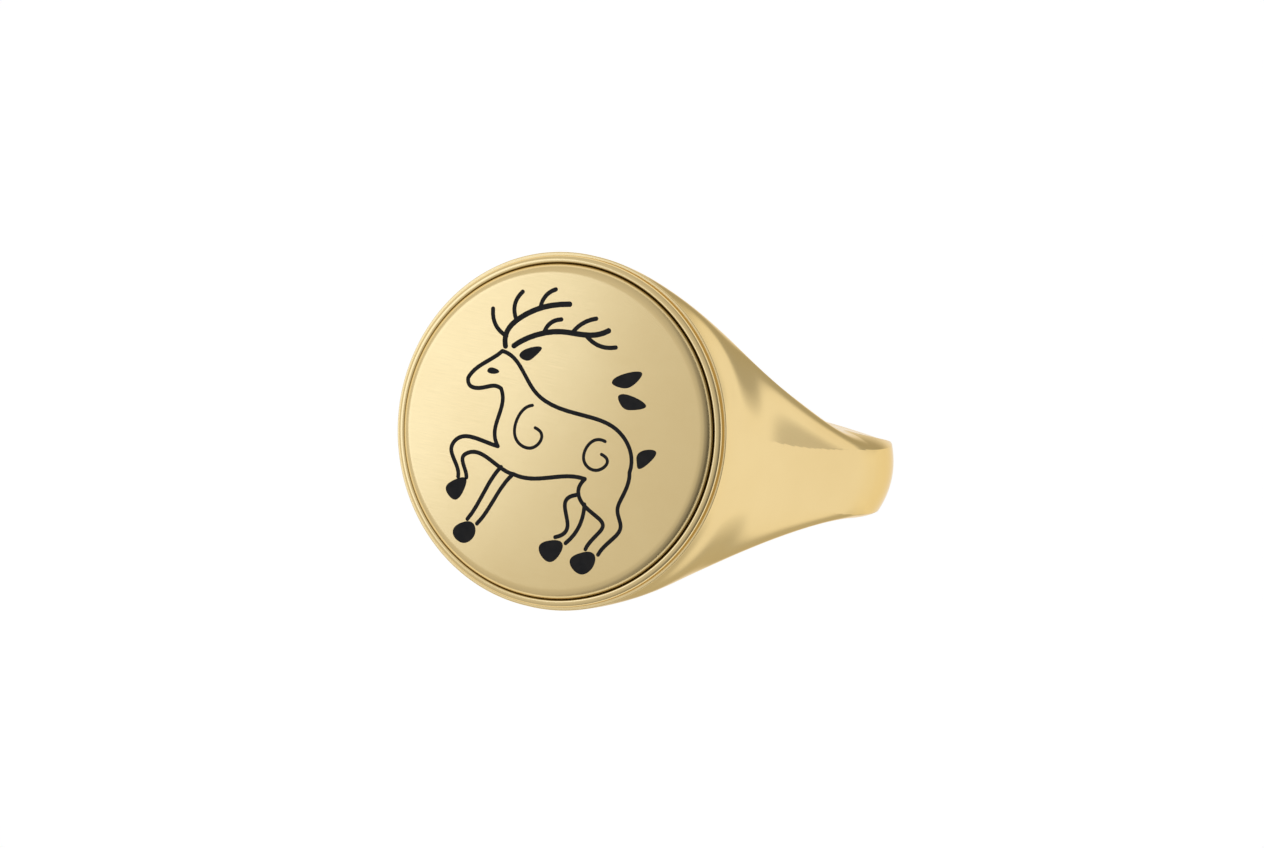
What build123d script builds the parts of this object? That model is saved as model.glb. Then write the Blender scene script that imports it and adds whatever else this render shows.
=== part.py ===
from build123d import *

import os
from math import asin, cos, degrees, radians, sin

# Round-headed signet ring with an enamelled, engraved face plate.
#
# Millimetres. The finger runs along Y, X crosses the shoulders, and +Z is the
# outward normal of the face. The origin is the centre of the finger bore.

# ---------------------------------------------------------------- dimensions
BORE_R = 9.05  # finger bore, 18.1 mm across: US size 8
HOOP_R = 11.1  # outside of the shank
SHANK_HALF = 2.05  # half the shank's width along the finger, at the bore
HEAD_R = 8.0  # outside of the round head
HEAD_TOP = 10.15  # the head's flat top, under the rim bead
SHOULDER_TURN = 48.0  # where shoulders meet head, in degrees from the face normal

PLATE_R = 7.5  # engraved face plate
PLATE_TOP = 10.9
PLATE_BASE = 10.0
PLATE_ROUND = 0.5  # soft outer edge of the plate

RIM_IN = 7.54  # bead that frames the plate, with a fine gap between them
RIM_OUT = 7.86
RIM_TOP = 10.46
RIM_ROUND = 0.2  # the bead's upper outer edge
RIM_EASE = 0.1  # its upper inner edge

SEAT_IN = 6.3  # bearing ring that carries the plate inside the head
SEAT_BASE = 9.7

SEAM_T = 0.08  # solder joints between the four cast pieces

CUT_DEPTH = 0.32  # engraving below the face
ENAMEL_DROP = 0.02  # the enamel's surface lies this far below the face
LINE = 0.19  # ordinary engraved line
FINE = 0.15
BEAM = 0.25  # antler beams
TINE = 0.2

# Sections of the cast body, from the bore's axis up to the head: level, half
# length along X, half width along Y, depth of the curved end along X, half
# width of its front band, how far the band bows, and the eccentric angle (in
# degrees) at which the flank's elliptical arc starts beside the band.
HEAD_FRONT = 1.6
HEAD_START = degrees(asin(HEAD_FRONT / HEAD_R))
LEVELS = (
    (0.0, HOOP_R, SHANK_HALF, 2.6, 1.5, 0.3, 22.0),
    (1.3, 11.0, 2.25, 2.6, 1.5, 0.25, 25.0),
    (3.1, 10.42, 3.1, 2.9, 1.42, 0.15, 35.0),
    (5.0, 9.58, 4.32, 3.4, 1.35, 0.08, 38.0),
    (7.0, 8.78, 5.92, 4.6, 1.45, 0.1, 30.0),
    (8.9, 8.28, 7.34, 6.5, HEAD_FRONT, 0.158, 12.6),
    (9.7, 8.08, 7.87, 7.6, HEAD_FRONT, 0.159, 11.73),
    (HEAD_TOP, HEAD_R, HEAD_R, 7.92, HEAD_FRONT, 0.16, HEAD_START),
)

# The hoop's sides below the bore's axis: level, half width.
TAPER = (
    (0.5, 2.13),
    (0.0, 2.06),
    (-1.8, 1.86),
    (-3.7, 1.68),
    (-6.0, 1.42),
    (-9.0, 1.24),
    (-11.3, 1.18),
)

os.makedirs("parts", exist_ok=True)


def save(piece, label):
    """Label one finished piece and write its STEP file."""
    piece.label = label
    export_step(piece, f"parts/{label}.step")


# ------------------------------------------------------------ the cast body
def draw_end(half_x, half_y, depth, front, bow, start):
    """One rounded end of a section: the front band between two flanks."""
    run = (depth - bow) / cos(radians(start))
    rise = (half_y - front) / (1 - sin(radians(start)))
    centre_x, centre_y = half_x - depth, half_y - rise
    sweep = 90 - start
    EllipticalCenterArc(
        (centre_x, -centre_y), run, rise, start_angle=-90, arc_size=sweep
    )
    ThreePointArc((half_x - bow, -front), (half_x, 0), (half_x - bow, front))
    EllipticalCenterArc(
        (centre_x, centre_y), run, rise, start_angle=start, arc_size=sweep
    )


def draw_section(*shape):
    """A section's outline: two rounded ends joined by straight sides."""
    half_x, half_y, depth = shape[:3]
    flat = half_x - depth
    with BuildLine() as end:
        draw_end(*shape)
    far_end = [edge.rotate(Axis.Z, 180) for edge in end.edges()]
    with BuildLine() as sides:
        Line((flat, half_y), (-flat, half_y))
        Line((-flat, -half_y), (flat, -half_y))
    make_face(end.edges() + far_end + sides.edges())


def make_upper_body():
    """Head and shoulders as one smooth form above the bore's axis."""
    with BuildPart() as upper:
        for level, *shape in LEVELS:
            with BuildSketch(Plane.XY.offset(level)):
                draw_section(*shape)
        loft()
        with BuildSketch(Plane.XZ):
            Circle(BORE_R)
        extrude(amount=HEAD_R + 2, both=True, mode=Mode.SUBTRACT)
    return upper.part


def make_hoop():
    """The half hoop below the bore's axis, turned from the shank's section."""
    _, *shape = LEVELS[0]
    half_x, half_y, depth = shape[:3]
    flat, inside = half_x - depth, BORE_R - 1
    with BuildPart() as hoop:
        with BuildSketch(Plane.XY):
            with BuildLine() as path:
                draw_end(*shape)
                Line((flat, half_y), (inside, half_y))
                Line((inside, half_y), (inside, -half_y))
                Line((inside, -half_y), (flat, -half_y))
            make_face(path.edges())
        revolve(axis=Axis.Y, revolution_arc=180)
        with BuildSketch(Plane.XZ):
            Circle(BORE_R)
        extrude(amount=HEAD_R, both=True, mode=Mode.SUBTRACT)
        with BuildSketch(Plane.YZ):
            with BuildLine() as sides:
                near = [(half, level) for level, half in TAPER]
                far = [(-half, level) for level, half in TAPER]
                Spline(*near)
                Line(near[-1], far[-1])
                Spline(*far)
                Line(far[0], near[0])
            make_face(sides.edges())
        extrude(amount=HOOP_R + 1, both=True, mode=Mode.INTERSECT)
    return hoop.part


def make_shank(hoop):
    """The hoop below the two lower solder joints."""
    with BuildPart() as shank:
        add(hoop)
        split(bisect_by=Plane.XY.offset(-SEAM_T), keep=Keep.BOTTOM)
    return shank.part


def radial_plane(turn, right, gap=0.0):
    """The plane through the bore's axis at an angle from the face normal.

    Its normal points down the ring; gap moves it that way."""
    side = 1 if right else -1
    angle = radians(turn)
    normal = Vector(side * cos(angle), 0, -sin(angle))
    return Plane(origin=normal * gap, x_dir=(0, 1, 0), z_dir=normal)


def cut_slice(source, start, end, right):
    """What lies between two planes whose normals both point down the ring."""
    with BuildPart() as piece:
        add(source)
        split(bisect_by=Plane.YZ, keep=Keep.TOP if right else Keep.BOTTOM)
        split(bisect_by=start, keep=Keep.TOP)
        split(bisect_by=end, keep=Keep.BOTTOM)
    return piece.part


def make_head(upper):
    """The round cup that the shoulders carry, recessed for seat and plate."""
    with BuildPart() as head:
        add(upper)
        split(bisect_by=radial_plane(SHOULDER_TURN, True), keep=Keep.BOTTOM)
        split(bisect_by=radial_plane(SHOULDER_TURN, False), keep=Keep.BOTTOM)
        with BuildSketch(Plane.XY.offset(SEAT_BASE)):
            Circle(RIM_IN)
        extrude(amount=2, mode=Mode.SUBTRACT)
    return head.part


# ----------------------------------------------------- rim, seat and plate
def make_rim():
    """The narrow rounded bead around the plate, just inside the head's edge."""
    with BuildPart() as rim:
        with BuildSketch(Plane.XY.offset(HEAD_TOP)):
            Circle(RIM_OUT)
            Circle(RIM_IN, mode=Mode.SUBTRACT)
        extrude(amount=RIM_TOP - HEAD_TOP)
        top = rim.edges().filter_by(GeomType.CIRCLE).group_by(Axis.Z)[-1]
        fillet(top.sort_by(SortBy.RADIUS)[-1], RIM_ROUND)
        top = rim.edges().filter_by(GeomType.CIRCLE).group_by(Axis.Z)[-1]
        fillet(top.sort_by(SortBy.RADIUS)[0], RIM_EASE)
    return rim.part


def make_seat():
    """The bearing ring under the plate's edge."""
    with BuildPart() as seat:
        with BuildSketch(Plane.XY.offset(SEAT_BASE)):
            Circle(RIM_IN)
            Circle(SEAT_IN, mode=Mode.SUBTRACT)
        extrude(amount=PLATE_BASE - SEAT_BASE)
    return seat.part


# --------------------------------------------------- the engraved device
# A plain springing stag that looks left. Every entry is one continuous pool
# of enamel: its lines as (width, points) and its solid areas as outlines.
DEVICE = {
    "enamel_back_outline": {
        "lines": (
            (LINE, ((-4.62, 1.42), (-4.3, 1.95), (-3.75, 2.45), (-3.25, 2.95))),
            (
                LINE,
                ((-4.62, 1.42), (-4.45, 1.1), (-3.9, 1.12), (-3.3, 1.35), (-2.95, 1.3)),
            ),
            (LINE, ((-2.95, 1.3), (-2.75, 0.5), (-2.85, -0.4), (-2.55, -1.25))),
            (
                LINE,
                (
                    (-3.25, 2.95),
                    (-2.6, 2.75),
                    (-1.95, 2.15),
                    (-1.2, 1.45),
                    (0.1, 1.05),
                    (1.5, 1.0),
                    (2.9, 0.75),
                    (3.75, 0.0),
                    (3.95, -1.0),
                ),
            ),
            (
                LINE,
                (
                    (-2.55, -1.25),
                    (-3.5, -1.15),
                    (-4.55, -1.35),
                    (-4.75, -1.75),
                    (-4.35, -2.5),
                    (-4.15, -3.0),
                ),
            ),
            (
                LINE,
                (
                    (3.95, -1.0),
                    (3.85, -2.1),
                    (3.75, -2.8),
                    (4.05, -3.45),
                    (3.6, -4.3),
                    (3.25, -4.9),
                ),
            ),
        ),
    },
    "enamel_belly_outline": {
        "lines": (
            (
                LINE,
                (
                    (-1.55, -2.3),
                    (-2.6, -2.0),
                    (-3.9, -1.85),
                    (-4.1, -2.05),
                    (-3.9, -2.6),
                    (-3.75, -2.95),
                ),
            ),
            (LINE, ((-2.2, -2.12), (-2.7, -3.2), (-3.0, -4.1), (-3.3, -4.75))),
            (LINE, ((-1.55, -2.3), (-2.1, -3.3), (-2.45, -4.2), (-2.8, -4.85))),
            (LINE, ((-1.55, -2.3), (-0.4, -2.25), (0.9, -1.85), (1.9, -1.75))),
            (
                LINE,
                (
                    (1.9, -1.75),
                    (1.75, -2.5),
                    (2.35, -3.05),
                    (3.2, -3.6),
                    (2.9, -4.2),
                    (2.6, -4.8),
                ),
            ),
            (LINE, ((1.75, -2.5), (1.2, -3.1), (1.5, -3.85), (1.05, -4.6))),
            (LINE, ((2.12, -2.86), (2.1, -3.8), (1.6, -4.75))),
        ),
    },
    "enamel_hoof_fore_near": {
        "areas": (((-4.22, -3.12), (-3.72, -3.06), (-3.72, -3.4), (-4.1, -4.05), (-4.55, -3.8)),),
    },
    "enamel_hoof_fore_far": {
        "areas": (((-3.42, -4.9), (-2.87, -4.99), (-2.8, -5.35), (-3.3, -5.85), (-3.85, -5.55)),),
    },
    "enamel_hoof_hind_near": {
        "areas": (((2.5, -4.96), (3.15, -5.06), (3.15, -5.42), (2.6, -5.95), (2.0, -5.6)),),
    },
    "enamel_hoof_hind_far": {
        "areas": (((0.93, -4.76), (1.5, -4.9), (1.45, -5.25), (1.0, -5.75), (0.4, -5.35)),),
    },
    "enamel_ear": {
        "areas": (((-2.4, 2.95), (-2.05, 3.35), (-1.4, 3.5), (-1.65, 3.05), (-2.05, 2.78)),),
    },
    "enamel_eye": {
        "areas": (((-3.78, 1.97), (-3.5, 2.13), (-3.2, 2.02), (-3.5, 1.85)),),
    },
    "enamel_tail": {
        "areas": (((4.15, -0.35), (4.6, 0.2), (5.0, 0.2), (4.8, -0.35), (4.3, -0.72)),),
    },
    "enamel_shoulder_curl": {
        "lines": (
            (
                FINE,
                (
                    (-1.3, 0.9),
                    (-1.9, 0.1),
                    (-1.7, -0.8),
                    (-0.9, -0.95),
                    (-0.55, -0.4),
                    (-0.95, -0.05),
                ),
            ),
        ),
    },
    "enamel_haunch_curl": {
        "lines": (
            (
                FINE,
                (
                    (2.5, 0.1),
                    (1.7, -0.3),
                    (1.7, -1.0),
                    (2.35, -1.25),
                    (2.8, -0.8),
                    (2.45, -0.5),
                ),
            ),
        ),
    },
    "enamel_antler_near": {
        "lines": (
            (
                BEAM,
                ((-3.15, 3.2), (-3.2, 3.9), (-2.6, 4.7), (-1.6, 5.35), (-0.5, 5.7)),
            ),
            (TINE, ((-3.2, 3.65), (-3.8, 4.0), (-4.1, 4.7))),
            (TINE, ((-2.85, 4.42), (-3.1, 5.1), (-2.85, 5.75))),
            (TINE, ((-1.85, 5.2), (-1.75, 5.75), (-1.3, 6.2))),
        ),
    },
    "enamel_antler_far": {
        "lines": (
            (
                BEAM,
                ((-2.75, 3.3), (-1.9, 3.95), (-0.6, 4.42), (0.7, 4.55), (1.6, 4.95)),
            ),
            (TINE, ((-1.45, 4.15), (-1.25, 4.65), (-0.75, 4.95))),
            (TINE, ((-0.1, 4.49), (0.3, 5.0), (0.9, 5.35))),
            (TINE, ((0.55, 4.53), (1.3, 4.2), (2.1, 4.3))),
        ),
    },
    "enamel_leaf_upper": {
        "areas": (((2.25, 2.75), (2.85, 3.3), (3.6, 3.45), (3.3, 2.85), (2.8, 2.6)),),
    },
    "enamel_leaf_lower": {
        "areas": (((2.7, 2.25), (3.4, 2.35), (4.1, 2.05), (3.5, 1.75), (2.95, 1.8)),),
    },
}


def draw_line(width, points):
    """An engraved line of constant width with round ends."""
    with BuildLine() as path:
        Spline(*points)
    trace(path.line, line_width=width)
    with Locations(points[0], points[-1]):
        Circle(width / 2)


def draw_area(points):
    """A solid engraved area with a softly curved outline."""
    with BuildLine() as path:
        Spline(*points, periodic=True)
    make_face(path.edges())


def draw_pool(pool):
    """Every line and area of one connected pool, in the open sketch."""
    for width, points in pool.get("lines", ()):
        draw_line(width, points)
    for points in pool.get("areas", ()):
        draw_area(points)


def make_enamel(pool):
    """One pool of enamel, a little below the polished face."""
    with BuildPart() as enamel:
        with BuildSketch(Plane.XY.offset(PLATE_TOP - CUT_DEPTH)):
            draw_pool(pool)
        extrude(amount=CUT_DEPTH - ENAMEL_DROP)
    return enamel.part


def make_plate():
    """The round plate with every pool of the device cut into its face."""
    with BuildPart() as plate:
        with BuildSketch(Plane.XY.offset(PLATE_BASE)):
            Circle(PLATE_R)
        extrude(amount=PLATE_TOP - PLATE_BASE)
        edge = plate.edges().filter_by(GeomType.CIRCLE).group_by(Axis.Z)[-1]
        fillet(edge, PLATE_ROUND)
        for pool in DEVICE.values():
            with BuildSketch(Plane.XY.offset(PLATE_TOP - CUT_DEPTH)):
                draw_pool(pool)
            extrude(amount=CUT_DEPTH + 0.1, mode=Mode.SUBTRACT)
    return plate.part


# ------------------------------------------------------------ build and save
upper_body = make_upper_body()
hoop = make_hoop()

save(make_shank(hoop), "shank")
for side, right in (("left", False), ("right", True)):
    neck = radial_plane(SHOULDER_TURN, right)
    neck_below = radial_plane(SHOULDER_TURN, right, SEAM_T)
    equator = radial_plane(90, right)
    equator_below = radial_plane(90, right, SEAM_T)
    save(cut_slice(upper_body, neck, neck_below, right), f"solder_head_{side}")
    save(cut_slice(upper_body, neck_below, equator, right), f"shoulder_{side}")
    save(cut_slice(hoop, equator, equator_below, right), f"solder_shank_{side}")
save(make_head(upper_body), "head")
save(make_rim(), "rim_bead")
save(make_seat(), "seat_ring")
save(make_plate(), "face_plate")
for label, pool in DEVICE.items():
    save(make_enamel(pool), label)
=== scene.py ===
import math

import bmesh
import bpy
import numpy as np
from mathutils import Matrix, Vector


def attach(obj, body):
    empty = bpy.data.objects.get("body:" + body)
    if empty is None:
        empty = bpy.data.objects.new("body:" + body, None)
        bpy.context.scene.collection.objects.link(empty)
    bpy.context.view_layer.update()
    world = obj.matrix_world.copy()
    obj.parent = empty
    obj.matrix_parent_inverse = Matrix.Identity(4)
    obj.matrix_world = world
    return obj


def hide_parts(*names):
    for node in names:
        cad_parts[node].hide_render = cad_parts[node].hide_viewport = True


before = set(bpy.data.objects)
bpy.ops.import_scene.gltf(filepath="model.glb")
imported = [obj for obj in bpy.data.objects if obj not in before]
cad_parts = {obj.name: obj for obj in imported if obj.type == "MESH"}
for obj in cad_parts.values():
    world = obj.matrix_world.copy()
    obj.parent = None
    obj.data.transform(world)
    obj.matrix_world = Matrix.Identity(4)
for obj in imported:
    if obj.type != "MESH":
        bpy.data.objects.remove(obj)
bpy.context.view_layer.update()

# Looks of the signet ring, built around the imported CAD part.
#
# The finger runs along Y, X crosses the shoulders and +Z is the outward normal
# of the engraved face. Lengths are in millimetres unless they say metres.
MM = 0.001

# ------------------------------------------------- dimensions of the CAD part
BORE_R = 9.05
HOOP_R = 11.1
HEAD_R = 8.0
HEAD_TOP = 10.15
SEAM_T = 0.08
SHOULDER_TURN = 48.0  # where the shoulders end, in degrees from the face normal
SEAM_AT = 10.0  # distance from the bore's axis where a seam is SEAM_T thick
PLATE_R = 7.5  # engraved face plate
PLATE_TOP = 10.9
PLATE_BASE = 10.0
PLATE_ROUND = 0.5  # its soft outer edge
RIM_IN = 7.51  # the bead, drawn closer to the plate than in the CAD
RIM_OUT = 7.86
RIM_TOP = 10.46
RIM_ROUND = 0.2  # its upper outer edge
RIM_EASE = 0.1  # its upper inner edge
SEAT_BASE = 9.7  # floor of the recess under the plate

# Level, half length, half width, depth of the curved end, half width of its
# front band, the band's bow, and the angle at which the flank's arc starts.
HEAD_FRONT = 1.6
HEAD_START = math.degrees(math.asin(HEAD_FRONT / HEAD_R))
LEVELS = np.array(
    (
        (0.0, HOOP_R, 2.05, 2.6, 1.5, 0.3, 22.0),
        (1.3, 11.0, 2.25, 2.6, 1.5, 0.25, 25.0),
        (3.1, 10.42, 3.1, 2.9, 1.42, 0.15, 35.0),
        (5.0, 9.58, 4.32, 3.4, 1.35, 0.08, 38.0),
        (7.0, 8.78, 5.92, 4.6, 1.45, 0.1, 30.0),
        (8.9, 8.28, 7.34, 6.5, HEAD_FRONT, 0.158, 12.6),
        (9.7, 8.08, 7.87, 7.6, HEAD_FRONT, 0.159, 11.73),
        (HEAD_TOP, HEAD_R, HEAD_R, 7.92, HEAD_FRONT, 0.16, HEAD_START),
    )
)

# The hoop's sides below the bore's axis: level, half width.
TAPER = np.array(
    (
        (-11.3, 1.18),
        (-9.0, 1.24),
        (-6.0, 1.42),
        (-3.7, 1.68),
        (-1.8, 1.86),
        (0.0, 2.06),
        (0.5, 2.13),
    )
)

EASE = 0.14  # softened bore edge
LIP = 0.05  # softened top edge of the head
LIP_STEPS = 4
HEAD_ROWS = 73  # radial sections over a quarter of the head's top
TURNED_STEPS = 256  # segments round the bead and the plate
SMOOTH_WITHIN = math.cos(math.radians(40))  # sharper turns stay creased
MERGE = 5e-6  # points closer than this are one


# ------------------------------------------------------- the cast gold body
def natural_spline(knots, values):
    """A natural cubic spline through rows of values, as a function."""
    n = len(knots)
    h = np.diff(knots)
    a = np.eye(n)
    b = np.zeros_like(values)
    for i in range(1, n - 1):
        a[i, i - 1 : i + 2] = h[i - 1], 2 * (h[i - 1] + h[i]), h[i]
        b[i] = 6 * (
            (values[i + 1] - values[i]) / h[i] - (values[i] - values[i - 1]) / h[i - 1]
        )
    m = np.linalg.solve(a, b)

    def at(x):
        x = np.clip(np.asarray(x, float), knots[0], knots[-1])
        i = np.clip(np.searchsorted(knots, x, side="right") - 1, 0, n - 2)
        left, right, step = x - knots[i], knots[i + 1] - x, h[i]
        left, right, step = left[..., None], right[..., None], step[..., None]
        cubic = (m[i] * right**3 + m[i + 1] * left**3) / (6 * step)
        low = (values[i] / step - m[i] * step / 6) * right
        high = (values[i + 1] / step - m[i + 1] * step / 6) * left
        return cubic + low + high

    return at


section_at = natural_spline(LEVELS[:, 0], LEVELS[:, 1:])
side_limit = natural_spline(TAPER[:, 0], TAPER[:, 1:])


def end_arc(z):
    """A section's end: tip, side, depth, front, bow and the arc's radii."""
    shape = section_at(np.maximum(z, 0.0))
    tip, side, depth, front, bow, start = np.moveaxis(shape, -1, 0)
    start = np.radians(start)
    rise = (side - front) / (1 - np.sin(start))
    run = (depth - bow) / np.cos(start)
    return tip, side, depth, front, bow, rise, run


def half_width(x, z):
    """Half the body's width along Y at a place beside or above the bore."""
    tip, side, depth, front, bow, rise, run = end_arc(z)
    turn = np.arccos(np.clip((x - tip + depth) / run, 0.0, 1.0))
    flank = side - rise * (1 - np.sin(turn))
    band = front * np.sqrt(np.clip((tip - x) / bow, 0.0, 1.0))
    return np.where(x > tip - bow, band, flank)


def reach(y, z):
    """How far the body stands out along X at a half width y."""
    tip, side, depth, front, bow, rise, run = end_arc(z)
    sine = np.clip(1 - (side - y) / rise, -1.0, 1.0)
    flank = tip - depth + run * np.sqrt(1 - sine * sine)
    band = tip - bow * (y / front) ** 2
    return np.where(np.abs(y) < front, band, flank)


def unit(v):
    """Rows of vectors at length one."""
    return v / np.maximum(np.linalg.norm(v, axis=-1, keepdims=True), 1e-12)


def skin_normal(x, y, z):
    """The outward normal, from whichever form of the surface is less steep."""
    d = 1e-4
    z = np.maximum(z, 2 * d)
    fx = (half_width(x + d, z) - half_width(x - d, z)) / (2 * d)
    fz = (half_width(x, z + d) - half_width(x, z - d)) / (2 * d)
    sy = (reach(y + d, z) - reach(y - d, z)) / (2 * d)
    sz = (reach(y, z + d) - reach(y, z - d)) / (2 * d)
    wide = np.stack([-fx, np.ones_like(fx), -fz], -1)
    ahead = np.stack([np.ones_like(sy), -sy, -sz], -1)
    return unit(np.where(np.abs(fx)[..., None] > 1, ahead, wide))


SKIN_TOP = HEAD_TOP - LIP
TOP_X = float(section_at(SKIN_TOP)[0])
TOP_TURN = math.degrees(math.atan2(TOP_X, SKIN_TOP))


def crest_radius(turn):
    """Distance from the bore's axis to the body's outermost line."""
    if turn >= 90.0:
        return HOOP_R
    s, c = math.sin(math.radians(turn)), math.cos(math.radians(turn))
    if turn <= TOP_TURN + 1e-9:
        return SKIN_TOP / c
    low, high = BORE_R, 2 * HOOP_R
    for _ in range(60):
        mid = (low + high) / 2
        if mid * s < float(section_at(mid * c)[0]):
            low = mid
        else:
            high = mid
    return low


SKIN_COLS, EASE_COLS, WALL_COLS = 72, 6, 6  # points across half a section
TRIAL_POINTS = 900  # finer row they are spaced out along


def slice_normals(turn, skin):
    """Normals of a radial section's skin points (radius, Y)."""
    a = math.radians(turn)
    r, y = skin[:, 0], skin[:, 1]
    if turn <= 90.0:
        return skin_normal(r * math.sin(a), y, r * math.cos(a))
    here = skin_normal(r, y, np.zeros_like(r))
    here[:, 2] = 0.0
    here = unit(here)
    turned = np.stack([here[:, 0] * math.sin(a), here[:, 1], here[:, 0] * math.cos(a)], 1)
    level, d = r * math.cos(a), 1e-4
    limit = side_limit(level)[:, 0]
    slope = (side_limit(level + d)[:, 0] - side_limit(level - d)[:, 0]) / (2 * d)
    side = unit(np.stack([np.zeros_like(r), np.ones_like(r), -slope], 1))
    cut = half_width(r, np.zeros_like(r)) > limit
    return np.where(cut[:, None], side, turned)


def half_slice(turn):
    """Half a radial section, from its crest round the bore edge to Y = 0.

    Gives its points and its outward normals.
    """
    top = crest_radius(turn)
    v = np.linspace(0, 1, TRIAL_POINTS)
    r = BORE_R + (top - BORE_R) * np.sin(v * math.pi / 2)
    a = math.radians(turn)
    b = min(a, math.pi / 2)
    y = half_width(r * math.sin(b), r * math.cos(b))
    if turn > 90.0:
        y = np.minimum(y, side_limit(r * math.cos(a))[:, 0])
    if turn > TOP_TURN + 1e-9:
        y[-1] = 0.0
    length = np.concatenate([[0], np.cumsum(np.hypot(np.diff(r), np.diff(y)))])
    s = np.linspace(length[-1], EASE, SKIN_COLS)
    skin = np.stack([np.interp(s, length, r), np.interp(s, length, y)], 1)
    normals = slice_normals(turn, skin)
    inward = np.array([-math.sin(a), 0.0, -math.cos(a)])
    corner, end = np.array([BORE_R, y[0]]), np.array([BORE_R, y[0] - EASE])
    k = np.linspace(0, 1, EASE_COLS + 1)[1:, None]
    ease = (1 - k) ** 2 * skin[-1] + 2 * k * (1 - k) * corner + k**2 * end
    wall_y = np.linspace(y[0] - EASE, 0, WALL_COLS + 1)[1:]
    wall = np.stack([np.full(WALL_COLS, BORE_R), wall_y], 1)
    ry = np.concatenate([skin, ease, wall])
    points = np.stack([ry[:, 0] * math.sin(a), ry[:, 1], ry[:, 0] * math.cos(a)], 1)
    eased = unit((1 - k) * normals[-1] + k * inward)
    return points, np.concatenate([normals, eased, np.tile(inward, (WALL_COLS, 1))])


# Stretches of radial sections after the head's own two.
HEAD_SIDE, HEAD_SEAM, SHOULDER, SHANK_SEAM, SHANK = 1, 2, 3, 4, 5


def slice_turns():
    """Angles of all the radial sections on one side, and where stretches end."""
    head_rows = np.degrees(
        np.arctan(TOP_X * np.sin(np.linspace(0, math.pi / 2, HEAD_ROWS)) / SKIN_TOP)
    )
    seam = math.degrees(SEAM_T / SEAM_AT)
    parts = [
        head_rows,
        np.linspace(TOP_TURN, SHOULDER_TURN, 13)[1:],
        np.linspace(SHOULDER_TURN, SHOULDER_TURN + seam, 2)[1:],
        np.linspace(SHOULDER_TURN + seam, 90.0, 48)[1:],
        np.linspace(90.0, 90.0 + seam, 2)[1:],
        np.linspace(90.0 + seam, 180.0, 84)[1:],
    ]
    ends = np.cumsum([len(p) for p in parts]) - 1
    return np.concatenate(parts), ends


TURNS, ENDS = slice_turns()
SLICES = [half_slice(t) for t in TURNS]
GRID = np.array([points for points, _ in SLICES])
NORMALS = np.array([normals for _, normals in SLICES])
FLIP_Y = np.array([1, -1, 1])


class Mesh:
    """Collects faces with a normal at every corner, in millimetres."""

    def __init__(self):
        self.points, self.keys, self.faces, self.normals = [], {}, [], []

    def vertex(self, p):
        """The number of the point at p, which near points share."""
        key = tuple(int(round(c / MERGE)) for c in p)
        if key not in self.keys:
            self.keys[key] = len(self.points)
            self.points.append([float(c) for c in p])
        return self.keys[key]

    def face(self, corners, normals):
        ids = [self.vertex(p) for p in corners]
        kept, kept_n = [], []
        for i, n in zip(ids, normals):
            if not kept or (i != kept[-1] and i != kept[0]):
                kept.append(i)
                kept_n.append(n)
        if len(kept) > 2:
            self.faces.append(kept)
            self.normals.append(kept_n)

    def strip(self, a, b, na, nb, flip=False):
        """Quads between two rows of points."""
        for i in range(len(a) - 1):
            quad = [a[i], a[i + 1], b[i + 1], b[i]]
            turn = [na[i], na[i + 1], nb[i + 1], nb[i]]
            if flip:
                quad.reverse()
                turn.reverse()
            self.face(quad, turn)

    def make(self, name, body, nodes):
        """A Blender object that stands for CAD nodes and rides on a body."""
        mesh = bpy.data.meshes.new(name)
        mesh.from_pydata([[c * MM for c in p] for p in self.points], [], self.faces)
        mesh.polygons.foreach_set("use_smooth", [True] * len(mesh.polygons))
        flat = [list(n) for face in self.normals for n in face]
        mesh.normals_split_custom_set(flat)
        obj = bpy.data.objects.new(name, mesh)
        bpy.context.scene.collection.objects.link(obj)
        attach(obj, body)
        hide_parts(*nodes)
        return obj


def body_rows(out, first, last, side):
    """The skin, softened edges and bore wall between two sections."""
    for half in (1, -1):
        sign = np.array([side, half, 1])
        rows = GRID[first : last + 1] * sign + 0.0
        normals = NORMALS[first : last + 1] * sign
        for i in range(len(rows) - 1):
            out.strip(
                rows[i], rows[i + 1], normals[i], normals[i + 1], side * half > 0
            )


def end_cap(out, row, side, facing):
    """Closes a piece at one of its radial sections."""
    a = math.radians(TURNS[row])
    n = np.array([math.cos(a) * side, 0, -math.sin(a)]) * facing
    ring = list(GRID[row]) + list((GRID[row] * FLIP_Y)[::-1])
    ring = [p * np.array([side, 1, 1]) + 0.0 for p in ring]
    if side * facing > 0:
        ring.reverse()
    out.face(ring, [n] * len(ring))


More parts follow.
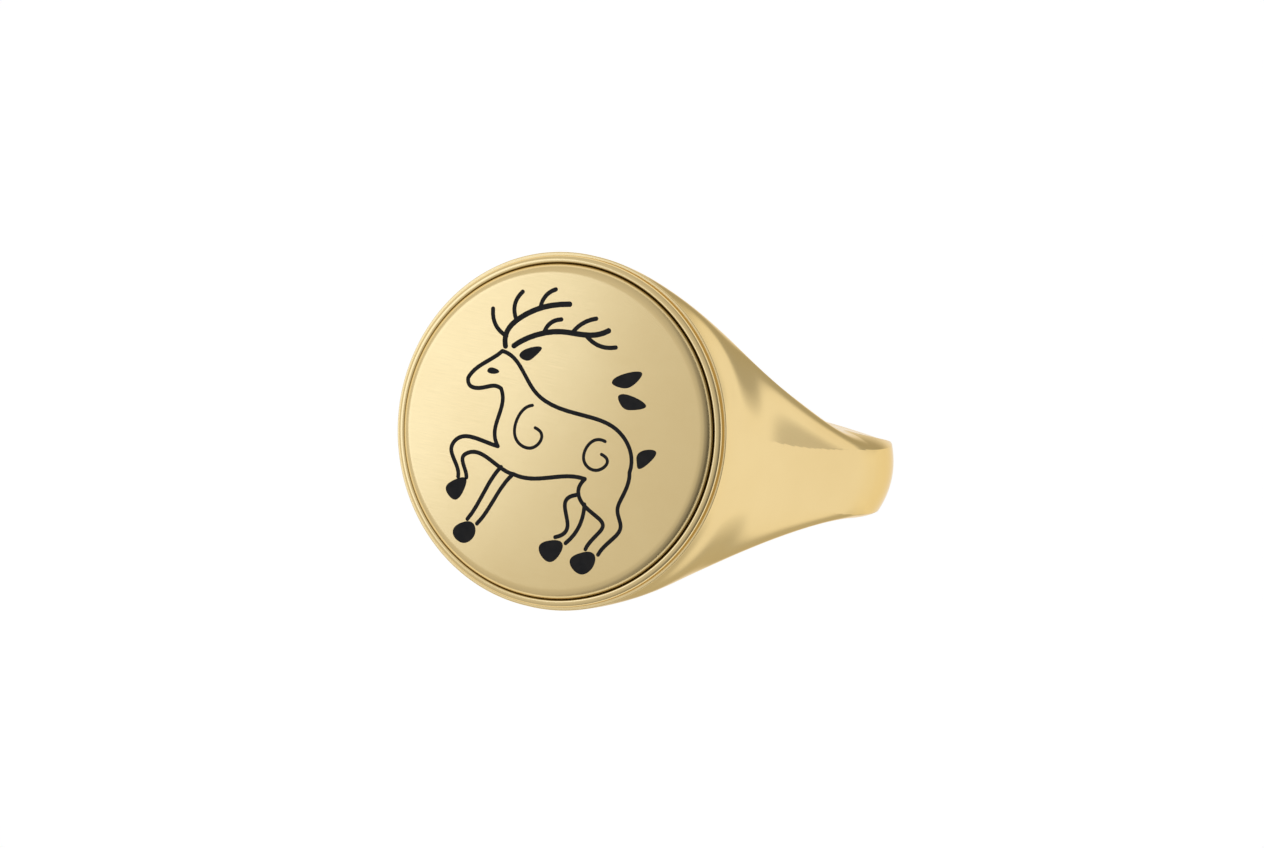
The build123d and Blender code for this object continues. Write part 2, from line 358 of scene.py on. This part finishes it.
def head_crown(out):
    """The head's top: softened lip, flat ring and the recess for the seat."""
    quarter = [GRID[i, 0] for i in range(HEAD_ROWS)]
    loop = [(p[0], p[1]) for p in quarter]
    loop += [(p[0], -p[1]) for p in quarter[::-1][1:]]
    loop += [(-p[0], -p[1]) for p in quarter[1:]]
    loop += [(-p[0], p[1]) for p in quarter[::-1][1:]]
    around = np.array(loop)
    outward = around / np.linalg.norm(around, axis=1, keepdims=True)
    outer = np.linalg.norm(around, axis=1, keepdims=True)

    def ring(radius, z):
        return np.column_stack([outward * radius, np.full(len(around), z)])

    def lean(out_part, up_part):
        return np.column_stack(
            [outward * out_part, np.full(len(around), float(up_part))]
        )

    rings = []
    for a in np.linspace(0, math.pi / 2, LIP_STEPS + 1):
        radius = outer - LIP * (1 - math.cos(a))
        z = SKIN_TOP + LIP * math.sin(a)
        rings.append((ring(radius, z), lean(math.cos(a), math.sin(a))))
    up, inward = lean(0, 1), lean(-1, 0)
    rings.append((ring(RIM_IN, HEAD_TOP), up))
    for (a, na), (b, nb) in zip(rings, rings[1:]):
        out.strip(a, b, na, nb, True)
    wall_top, wall_low = ring(RIM_IN, HEAD_TOP), ring(RIM_IN, SEAT_BASE)
    out.strip(wall_top, wall_low, inward, inward, True)
    floor = wall_low[:-1]
    out.face(list(floor[::-1]), [np.array([0, 0, 1.0])] * len(floor))


def make_head():
    """The head: both its sides, their end caps and the crown."""
    out = Mesh()
    for side in (1, -1):
        body_rows(out, 0, ENDS[HEAD_SIDE], side)
        end_cap(out, ENDS[HEAD_SIDE], side, 1)
    head_crown(out)
    return out.make("head_gold", "root", ["head"])


def make_between(name, node, stretch, side):
    """A piece of one side that fills one stretch of sections."""
    first, last = ENDS[stretch - 1], ENDS[stretch]
    out = Mesh()
    body_rows(out, first, last, side)
    end_cap(out, first, side, -1)
    end_cap(out, last, side, 1)
    return out.make(name, "root", [node])


def make_shank():
    """The lower hoop, from one seam round to the other."""
    out = Mesh()
    for side in (1, -1):
        body_rows(out, ENDS[SHANK_SEAM], ENDS[SHANK], side)
        end_cap(out, ENDS[SHANK_SEAM], side, -1)
    return out.make("shank_gold", "root", ["shank"])


# --------------------------------------------------------- turned pieces
def profile_normals(profile):
    """Outward normals of a closed profile at both ends of each edge."""
    n = len(profile)
    edges = [np.subtract(profile[(i + 1) % n], profile[i]) for i in range(n)]
    normals = [np.array([e[1], -e[0]]) / np.linalg.norm(e) for e in edges]
    pairs = []
    for i in range(n):
        before, here, after = normals[i - 1], normals[i], normals[(i + 1) % n]
        start = here + before if np.dot(here, before) > SMOOTH_WITHIN else here
        end = here + after if np.dot(here, after) > SMOOTH_WITHIN else here
        pairs.append((start / np.linalg.norm(start), end / np.linalg.norm(end)))
    return pairs


def turn_profile(out, profile, closed=True):
    """Turns a profile of (radius, height), counter-clockwise, about Z."""
    pairs = profile_normals(profile)
    n = len(profile)
    steps = TURNED_STEPS
    angles = [2 * math.pi * k / steps for k in range(steps)]
    for i in range(n if closed else n - 1):
        (r0, z0), (r1, z1) = profile[i], profile[(i + 1) % n]
        (a0, a1) = pairs[i]
        for k in range(steps):
            t0, t1 = angles[k], angles[(k + 1) % steps]
            c0, s0, c1, s1 = math.cos(t0), math.sin(t0), math.cos(t1), math.sin(t1)
            out.face(
                [
                    (r0 * c0, r0 * s0, z0),
                    (r0 * c1, r0 * s1, z0),
                    (r1 * c1, r1 * s1, z1),
                    (r1 * c0, r1 * s0, z1),
                ],
                [
                    (a0[0] * c0, a0[0] * s0, a0[1]),
                    (a0[0] * c1, a0[0] * s1, a0[1]),
                    (a1[0] * c1, a1[0] * s1, a1[1]),
                    (a1[0] * c0, a1[0] * s0, a1[1]),
                ],
            )


def arc(cr, cz, radius, start, end, count):
    """Points of a circular arc in a (radius, height) profile."""
    angles = np.radians(np.linspace(start, end, count))
    return [(cr + radius * math.cos(a), cz + radius * math.sin(a)) for a in angles]


def make_rim():
    """The bead: rounded over its outside and its upper inner edge."""
    profile = [(RIM_IN, HEAD_TOP), (RIM_OUT, HEAD_TOP)]
    profile += arc(RIM_OUT - RIM_ROUND, RIM_TOP - RIM_ROUND, RIM_ROUND, 0, 90, 14)
    profile += arc(RIM_IN + RIM_EASE, RIM_TOP - RIM_EASE, RIM_EASE, 90, 180, 8)
    out = Mesh()
    turn_profile(out, profile)
    return out.make("rim_bead_gold", "root", ["rim_bead"])


DOME = 0.008  # how far the face's shine leans per millimetre from its centre
CUT_EASE = 0.018  # softened upper edges of the engraving


def circle_points(radius, z):
    """A circle of points at a height, counter-clockwise."""
    angles = [2 * math.pi * k / TURNED_STEPS for k in range(TURNED_STEPS)]
    return [(radius * math.cos(a), radius * math.sin(a), z) for a in angles]


def engraved_face(radius, z):
    """The CAD's cut face, carried out to a circle, with its cuts' edges eased."""
    bm = bmesh.new()
    bm.from_mesh(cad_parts["face_plate"].data)
    bm.transform(Matrix.Scale(1 / MM, 4))
    bmesh.ops.remove_doubles(bm, verts=bm.verts, dist=1e-4)
    flat_end = PLATE_R - PLATE_ROUND + 0.01
    outside = [f for f in bm.faces if max(v.co.xy.length for v in f.verts) > flat_end]
    bmesh.ops.delete(bm, geom=outside, context="FACES")
    border = [e for e in bm.edges if e.is_boundary]
    ring = [bm.verts.new(p) for p in circle_points(radius, z)]
    edges = [bm.edges.new(pair) for pair in zip(ring, ring[1:] + ring[:1])]
    bmesh.ops.bridge_loops(bm, edges=border + edges)
    bm.normal_update()
    sharp = [
        e
        for e in bm.edges
        if len(e.link_faces) == 2
        and e.calc_face_angle(0) > math.radians(60)
        and all(v.co.z > PLATE_TOP - 0.01 for v in e.verts)
    ]
    bmesh.ops.bevel(
        bm,
        geom=sharp,
        offset=CUT_EASE,
        offset_type="OFFSET",
        segments=1,
        profile=0.5,
        affect="EDGES",
        clamp_overlap=True,
    )
    bm.normal_update()
    return bm


def make_plate():
    """The engraved plate: its cut face is the CAD's, its edge is turned."""
    soft_edge = arc(PLATE_R - PLATE_ROUND, PLATE_TOP - PLATE_ROUND, PLATE_ROUND, 0, 88, 25)
    bm = engraved_face(*soft_edge[-1])
    out = Mesh()
    for f in bm.faces:
        if f.normal.z > 0.999:
            normals = [Vector((v.co.x * DOME, v.co.y * DOME, 1)).normalized() for v in f.verts]
        else:
            normals = [f.normal.copy()] * len(f.verts)
        out.face([v.co for v in f.verts], normals)
    turn_profile(out, [(PLATE_R, PLATE_BASE)] + soft_edge, closed=False)
    base = circle_points(PLATE_R, PLATE_BASE)
    out.face(base[::-1], [(0, 0, -1)] * len(base))
    bm.free()
    return out.make("face_plate_gold", "root", ["face_plate"])


# ------------------------------------------------------------- materials
class Nodes:
    """Short ways to write a material's node tree."""

    def __init__(self, name):
        self.material = bpy.data.materials.new(name)
        self.material.use_nodes = True
        self.tree = self.material.node_tree
        self.shader = self.tree.nodes["Principled BSDF"]
        self.coord = self.tree.nodes.new("ShaderNodeTexCoord")

    def node(self, kind, **settings):
        made = self.tree.nodes.new(kind)
        for key, value in settings.items():
            setattr(made, key, value)
        return made

    def link(self, a, b):
        self.tree.links.new(a, b)

    def placed(self, scale, rotation=(0, 0, 0)):
        m = self.node("ShaderNodeMapping")
        m.inputs["Scale"].default_value = scale
        m.inputs["Rotation"].default_value = rotation
        self.link(self.coord.outputs["Object"], m.inputs["Vector"])
        return m.outputs["Vector"]

    def noise(self, scale, detail=3.0, rough=0.55, stretch=(1, 1, 1), rotation=(0, 0, 0)):
        n = self.node("ShaderNodeTexNoise")
        n.inputs["Scale"].default_value = scale
        n.inputs["Detail"].default_value = detail
        n.inputs["Roughness"].default_value = rough
        self.link(self.placed(stretch, rotation), n.inputs["Vector"])
        return n.outputs["Fac"]

    def remap(self, value, low, high, start=0.3, end=0.7):
        m = self.node("ShaderNodeMapRange")
        m.inputs["From Min"].default_value = start
        m.inputs["From Max"].default_value = end
        m.inputs["To Min"].default_value = low
        m.inputs["To Max"].default_value = high
        self.link(value, m.inputs["Value"])
        return m.outputs["Result"]

    def mix_colour(self, factor, a, b):
        """From colour a to b, where b may also come from another node."""
        m = self.node("ShaderNodeMix", data_type="RGBA")
        colour_a, colour_b, mixed = m.inputs[6], m.inputs[7], m.outputs[2]
        colour_a.default_value = (*a, 1)
        if isinstance(b, bpy.types.NodeSocket):
            self.link(b, colour_b)
        else:
            colour_b.default_value = (*b, 1)
        self.link(factor, m.inputs[0])
        return mixed

    def bump(self, height, strength, distance, before=None):
        b = self.node("ShaderNodeBump")
        b.inputs["Strength"].default_value = strength
        b.inputs["Distance"].default_value = distance
        self.link(height, b.inputs["Height"])
        if before is not None:
            self.link(before, b.inputs["Normal"])
        return b.outputs["Normal"]


EDGE_TINT = (0.9, 0.77, 0.52)  # gold stays warm at grazing angles
PAINTED_SHADE = (0.22, 0.17, 0.075)  # painted shade: darker gold low on the plate's edge, standing in for the dark reflection there
PAINTED_SHADE_BAND = (0.01048, 0.0107)  # heights over which the painted shade fades out, in metres
TONE_SCALE, STREAK_SCALE, GRAIN_SCALE = 180.0, 900.0, 9000.0  # per metre
STREAK_STRETCH = (1.0, 26.0, 26.0)  # the brushing runs along X
STREAK_DEPTH, GRAIN_DEPTH = 2e-6, 1e-6  # metres


def gold(name, tones, rough, brush, pits, painted_shade=False):
    """Yellow gold with slight tone changes, fine brushing and tiny pits."""
    m = Nodes(name)
    m.shader.inputs["Metallic"].default_value = 1.0
    m.shader.inputs["Specular Tint"].default_value = (*EDGE_TINT, 1)
    tone = m.remap(m.noise(TONE_SCALE, 4.0), 0.0, 1.0)
    colour = m.mix_colour(tone, *tones)
    # painted shade: low on the plate's edge the gold fades into a dark tone that stands in for
    # the dark reflection there
    if painted_shade:
        split = m.node("ShaderNodeSeparateXYZ")
        m.link(m.coord.outputs["Object"], split.inputs["Vector"])
        unshaded = m.remap(split.outputs["Z"], 0.0, 1.0, *PAINTED_SHADE_BAND)
        colour = m.mix_colour(unshaded, PAINTED_SHADE, colour)
    m.link(colour, m.shader.inputs["Base Color"])
    streaks = m.noise(STREAK_SCALE, 5.0, 0.6, STREAK_STRETCH)
    m.link(m.remap(streaks, *rough), m.shader.inputs["Roughness"])
    fine = m.bump(streaks, brush, STREAK_DEPTH)
    grain = m.bump(m.noise(GRAIN_SCALE, 2.0), pits, GRAIN_DEPTH, fine)
    m.link(grain, m.shader.inputs["Normal"])
    return m.material


def enamel(name):
    """Hard near-black enamel with a faint grain and a satin shine."""
    m = Nodes(name)
    cloud = m.remap(m.noise(2500.0, 4.0), 0.0, 1.0)
    m.link(
        m.mix_colour(cloud, (0.006, 0.006, 0.006), (0.016, 0.014, 0.012)),
        m.shader.inputs["Base Color"],
    )
    m.link(m.remap(m.noise(6000.0), 0.35, 0.55), m.shader.inputs["Roughness"])
    m.shader.inputs["Specular IOR Level"].default_value = 0.15
    m.link(m.bump(m.noise(12000.0), 0.25, 3e-6), m.shader.inputs["Normal"])
    return m.material


def paint(obj, material):
    """Gives an object one material."""
    obj.data.materials.clear()
    obj.data.materials.append(material)


GOLD = (0.86, 0.665, 0.335), (0.82, 0.62, 0.30)  # lighter and deeper tone
DULL_GOLD = (0.26, 0.19, 0.09), (0.17, 0.125, 0.06)
polished = gold("polished_gold", GOLD, (0.10, 0.16), 0.25, 0.15)
# the plate's gold carries the painted shade low on its edge
brushed = gold("brushed_gold", GOLD, (0.17, 0.25), 0.5, 0.2, painted_shade=True)
solder = gold("gold_solder", GOLD, (0.10, 0.16), 0.25, 0.15)
oxidised = gold("oxidised_gold", DULL_GOLD, (0.4, 0.6), 0.3, 0.3)
black = enamel("black_enamel")

paint(make_head(), polished)
paint(make_shank(), polished)
paint(make_rim(), polished)
paint(make_plate(), brushed)
SIDE_PIECES = (  # object, CAD node, stretch, slot, material
    ("shoulder_{}_gold", "shoulder_{}", SHOULDER, "polished_gold", polished),
    ("joint_head_{}", "solder_head_{}", HEAD_SEAM, "gold_solder", solder),
    ("joint_shank_{}", "solder_shank_{}", SHANK_SEAM, "gold_solder", solder),
)
for label, side in (("left", -1), ("right", 1)):
    for title, node, stretch, slot, material in SIDE_PIECES:
        piece = make_between(title.format(label), node.format(label), stretch, side)
        paint(piece, material)
for name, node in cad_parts.items():
    if name.startswith("enamel_"):
        paint(node, black)
    elif name == "seat_ring":
        paint(node, oxidised)


# ------------------------------------------------------ floor and light
FLOOR_DEPTH = 150.0  # the ring is held well above the floor, which stays white
FLOOR_HALF = 2000.0
FLOOR_TONE, FLOOR_GLOW = 0.35, 0.79
CARD_LIFT = 1.0  # the cards lie just above the floor


def make_sheet(name, centre, half, z):
    """A flat matt sheet under the ring, white unless its glow is changed."""
    mesh = bpy.data.meshes.new(name)
    mesh.from_pydata([(-1, -1, 0), (1, -1, 0), (1, 1, 0), (-1, 1, 0)], [], [(0, 1, 2, 3)])
    obj = bpy.data.objects.new(name, mesh)
    obj.location = (centre[0] * MM, centre[1] * MM, z * MM)
    obj.scale = (half[0] * MM, half[1] * MM, 1)
    bpy.context.scene.collection.objects.link(obj)
    m = Nodes(name)
    m.shader.inputs["Base Color"].default_value = (FLOOR_TONE, FLOOR_TONE, FLOOR_TONE, 1)
    m.shader.inputs["Roughness"].default_value = 0.9
    m.shader.inputs["Emission Color"].default_value = (1, 1, 1, 1)
    m.shader.inputs["Emission Strength"].default_value = FLOOR_GLOW
    paint(obj, m.material)
    return m


def grey_card(name, centre, half, dim):
    """A soft-edged grey card on the floor beside the ring, out of the frame."""
    m = make_sheet(name, centre, half, CARD_LIFT - FLOOR_DEPTH)
    spread = m.node("ShaderNodeTexGradient", gradient_type="SPHERICAL")
    m.link(m.coord.outputs["Object"], spread.inputs["Vector"])
    glow = m.remap(spread.outputs["Fac"], FLOOR_GLOW, FLOOR_GLOW - dim, 0.0, 0.5)
    m.link(glow, m.shader.inputs["Emission Strength"])


def soft_panel(name, azimuth, elevation, distance, size, glow, colour=(1, 1, 1)):
    """A round panel of even glow that faces the ring, azimuth from +X to +Y."""
    data = bpy.data.lights.new(name, "AREA")
    data.shape = "DISK"
    data.size = size
    data.energy = glow * math.pi**2 * (size / 2) ** 2
    data.color = colour
    obj = bpy.data.objects.new(name, data)
    bpy.context.scene.collection.objects.link(obj)
    a, e = math.radians(azimuth), math.radians(elevation)
    way = Vector((math.cos(a) * math.cos(e), math.sin(a) * math.cos(e), math.sin(e)))
    obj.location = way * distance
    obj.rotation_mode = "QUATERNION"
    obj.rotation_quaternion = way.to_track_quat("Z", "Y")


SKY_BRIGHT = Vector((-0.8, 0.15, 0.55)).normalized()  # the studio's light side
SKY = (  # closeness to the light side, glow
    (-1.0, 0.30),
    (-0.75, 0.10),
    (-0.20, 0.35),
    (0.30, 0.60),
    (1.00, 0.74),
)


def make_world():
    """A soft sky that is brighter towards one side."""
    world = bpy.data.worlds.new("studio")
    bpy.context.scene.world = world
    world.use_nodes = True
    tree = world.node_tree
    coord = tree.nodes.new("ShaderNodeTexCoord")
    dot = tree.nodes.new("ShaderNodeVectorMath")
    dot.operation = "DOT_PRODUCT"
    dot.inputs[1].default_value = SKY_BRIGHT
    spread = tree.nodes.new("ShaderNodeMapRange")
    spread.inputs["From Min"].default_value = -1.0
    ramp = tree.nodes.new("ShaderNodeValToRGB")
    ramp.color_ramp.interpolation = "EASE"
    tree.links.new(coord.outputs["Generated"], dot.inputs[0])
    tree.links.new(dot.outputs["Value"], spread.inputs["Value"])
    tree.links.new(spread.outputs["Result"], ramp.inputs["Fac"])
    tree.links.new(ramp.outputs["Color"], tree.nodes["Background"].inputs["Color"])
    elements = ramp.color_ramp.elements
    while len(elements) < len(SKY):
        elements.new(0.5)
    for element, (closeness, glow) in zip(elements, SKY):
        element.position = (closeness + 1) / 2
        element.color = (glow, glow, glow, 1)
    tree.nodes["Background"].inputs["Strength"].default_value = 1.0


# ---------------------------------------------------------------- camera
SIDE_TURN, TILT, ROLL = 22.94, 5.48, 11.45  # degrees
PIVOT = Vector((0, 0, 10.5 * MM))
DISTANCE = 820.0  # from the pivot
VIEW_WIDTH = 56.4  # what the frame spans at the pivot
SHIFT = (0.0585, 0.0058)  # the head sits a little left of the frame's middle
SENSOR = 36.0


def make_camera():
    """Looks at the face from a little to its side and above."""
    a, e, r = (math.radians(v) for v in (SIDE_TURN, TILT, ROLL))
    across = Vector((math.cos(a), -math.sin(a) * math.sin(e), math.sin(a) * math.cos(e)))
    along = Vector((0, math.cos(e), math.sin(e)))
    normal = Vector((-math.sin(a), -math.cos(a) * math.sin(e), math.cos(a) * math.cos(e)))
    to_view = Matrix((across, along, normal)).transposed()
    roll = Matrix(
        ((math.cos(r), math.sin(r), 0), (-math.sin(r), math.cos(r), 0), (0, 0, 1))
    )
    view = roll @ to_view
    data = bpy.data.cameras.new("camera")
    data.sensor_width = SENSOR
    data.lens = SENSOR * DISTANCE / VIEW_WIDTH
    data.shift_x, data.shift_y = SHIFT
    data.clip_start, data.clip_end = 0.01, 20.0
    obj = bpy.data.objects.new("camera", data)
    bpy.context.scene.collection.objects.link(obj)
    axes = view.transposed().to_4x4()
    axes.translation = PIVOT + Vector(view[2]) * DISTANCE * MM
    obj.matrix_world = axes
    bpy.context.scene.camera = obj


make_sheet("floor", (0, 0), (FLOOR_HALF, FLOOR_HALF), -FLOOR_DEPTH)
make_world()
soft_panel(
    "key",
    azimuth=177.5,
    elevation=49.5,
    distance=0.25,
    size=0.175,
    glow=0.96,
    colour=(0.55, 0.68, 1.0),
)
grey_card("card_back", (20, 68), (122, 46), 0.5)
grey_card("card_far", (290, 150), (130, 75), 0.33)
grey_card("card_front", (0, -100), (150, 55), 0.4)
make_camera()
bpy.context.scene.view_settings.view_transform = "Standard"
